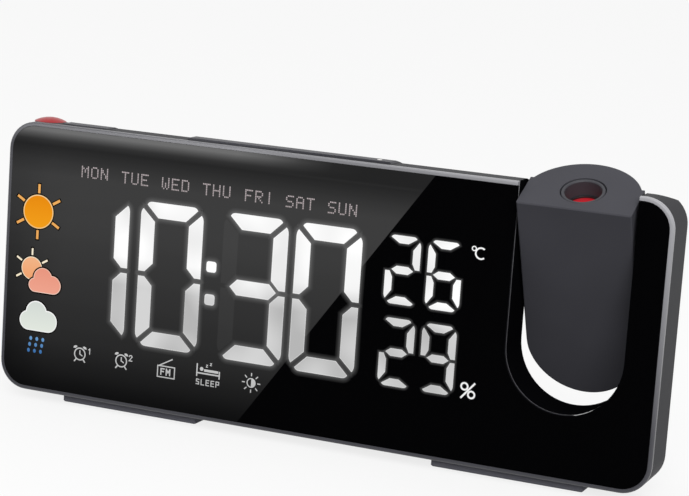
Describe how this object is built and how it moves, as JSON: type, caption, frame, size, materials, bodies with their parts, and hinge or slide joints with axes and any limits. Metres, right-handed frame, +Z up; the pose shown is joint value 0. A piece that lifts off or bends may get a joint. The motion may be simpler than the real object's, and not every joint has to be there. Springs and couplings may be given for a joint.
{
  "type": "projection alarm clock",
  "caption": "Slim mirror-faced digital alarm clock with a tilting projector head in an open slot, a snooze bar on top and a thicker rear housing with a speaker.",
  "frame": {"origin": "on the table, under the centre of the clock's bounding box with its head as pictured", "axes": "+X to the clock's right seen from the front, +Y from the display towards the back, +Z up"},
  "size_m": [0.19, 0.0443, 0.0834],
  "materials": {
    "case_plastic": "satin black ABS",
    "frame_plastic": "polished black ABS rim",
    "smoked_panel": "smoked mirror-gloss acrylic",
    "display_film": "printed diffuser film",
    "white_plastic": "white light-box plastic",
    "circuit_board": "solder-masked board",
    "led_white": "clear-potted light",
    "led_red": "red light",
    "rubber": "matt dark rubber",
    "steel": "zinc-plated steel",
    "black_steel": "blackened steel",
    "key_plastic": "satin dark-grey ABS",
    "red_plastic": "glossy red plastic",
    "clear_plastic": "clear light-sensor window",
    "black_part": "moulded epoxy or nylon",
    "cell_steel": "polished cell can",
    "paper_cone": "black paper cone",
    "magnet": "ferrite magnet",
    "washer_plastic": "nylon",
    "cable": "cable sheath",
    "lens_glass": "optical lens lit red from within",
    "slide_glass": "liquid crystal slide"
  },
  "bodies": {
    "clock": {"front_frame": "frame_plastic", "front_panel": "smoked_panel", "display_film": "display_film", "display_reflector": "white_plastic", "display_board": "circuit_board", "display_leds": "led_white", "rear_cover": "case_plastic", "foot_left": "rubber", "foot_right": "rubber", "case_screws": "black_steel", "switch_board": "circuit_board", "roof_switches": "black_part", "main_board": "circuit_board", "board_chips": "black_part", "board_link": "black_part", "board_screws": "steel", "cell_holder": "black_part", "backup_cell": "cell_steel", "battery_door": "case_plastic", "rear_switches": "black_part", "power_inlet": "steel", "speaker_basket": "black_steel", "speaker_cone": "paper_cone", "speaker_magnet": "magnet", "friction_washers": "washer_plastic", "head_cable": "cable"},
    "projector": {"head_front_shell": "case_plastic", "head_rear_shell": "case_plastic", "head_screws": "black_steel", "hinge_tube": "steel", "hinge_pin": "steel", "optic_housing": "black_part", "projection_slide": "slide_glass", "condenser_lens": "lens_glass", "projection_light": "led_red", "light_board": "circuit_board"},
    "focus_ring": {"focus_ring": "key_plastic"},
    "lens": {"lens_barrel": "black_part", "projection_lens": "lens_glass"},
    "snooze_bar": {"snooze_bar": "key_plastic", "sensor_window": "clear_plastic"},
    "roof_key": {"roof_key": "key_plastic"},
    "round_button": {"round_button": "red_plastic"},
    "rear_key_mode": {"rear_key_mode": "key_plastic"},
    "rear_key_alarm": {"rear_key_alarm": "key_plastic"},
    "rear_key_radio": {"rear_key_radio": "key_plastic"},
    "rear_key_down": {"rear_key_down": "key_plastic"},
    "rear_key_up": {"rear_key_up": "key_plastic"}
  },
  "joints": [
    {"name": "projector_tilt", "type": "hinge", "parent": "clock", "child": "projector", "pos_m": [0.0697, -0.00847, 0.06995], "axis": [1, 0, 0], "range_deg": [-116, 64]},
    {"name": "focus_turn", "type": "hinge", "parent": "projector", "child": "focus_ring", "pos_m": [0.0697, -0.01018, 0.06912], "axis": [0, -0.4384, 0.8988], "range_deg": [-75, 75]},
    {"name": "lens_slide", "type": "slide", "parent": "projector", "child": "lens", "axis": [0, -0.4384, 0.8988], "range_m": [-0.0013, 0.0013]},
    {"name": "snooze_press", "type": "slide", "parent": "clock", "child": "snooze_bar", "axis": [0, 0, -1], "range_m": [0, 0.0008], "stiffness_N_per_m": 600, "springref_m": -0.0005},
    {"name": "roof_key_press", "type": "slide", "parent": "clock", "child": "roof_key", "axis": [0, 0, -1], "range_m": [0, 0.0008], "stiffness_N_per_m": 500, "springref_m": -0.0005},
    {"name": "round_button_press", "type": "slide", "parent": "clock", "child": "round_button", "axis": [0, 0, -1], "range_m": [0, 0.0008], "stiffness_N_per_m": 500, "springref_m": -0.0005},
    {"name": "rear_key_mode_press", "type": "slide", "parent": "clock", "child": "rear_key_mode", "axis": [0, -1, 0], "range_m": [0, 0.0008], "stiffness_N_per_m": 400, "springref_m": -0.0005},
    {"name": "rear_key_alarm_press", "type": "slide", "parent": "clock", "child": "rear_key_alarm", "axis": [0, -1, 0], "range_m": [0, 0.0008], "stiffness_N_per_m": 400, "springref_m": -0.0005},
    {"name": "rear_key_radio_press", "type": "slide", "parent": "clock", "child": "rear_key_radio", "axis": [0, -1, 0], "range_m": [0, 0.0008], "stiffness_N_per_m": 400, "springref_m": -0.0005},
    {"name": "rear_key_down_press", "type": "slide", "parent": "clock", "child": "rear_key_down", "axis": [0, -1, 0], "range_m": [0, 0.0008], "stiffness_N_per_m": 400, "springref_m": -0.0005},
    {"name": "rear_key_up_press", "type": "slide", "parent": "clock", "child": "rear_key_up", "axis": [0, -1, 0], "range_m": [0, 0.0008], "stiffness_N_per_m": 400, "springref_m": -0.0005}
  ],
  "couplings": [
    {"joint": "focus_turn", "follows": "lens_slide", "rad_per_m": 1000}
  ]
}
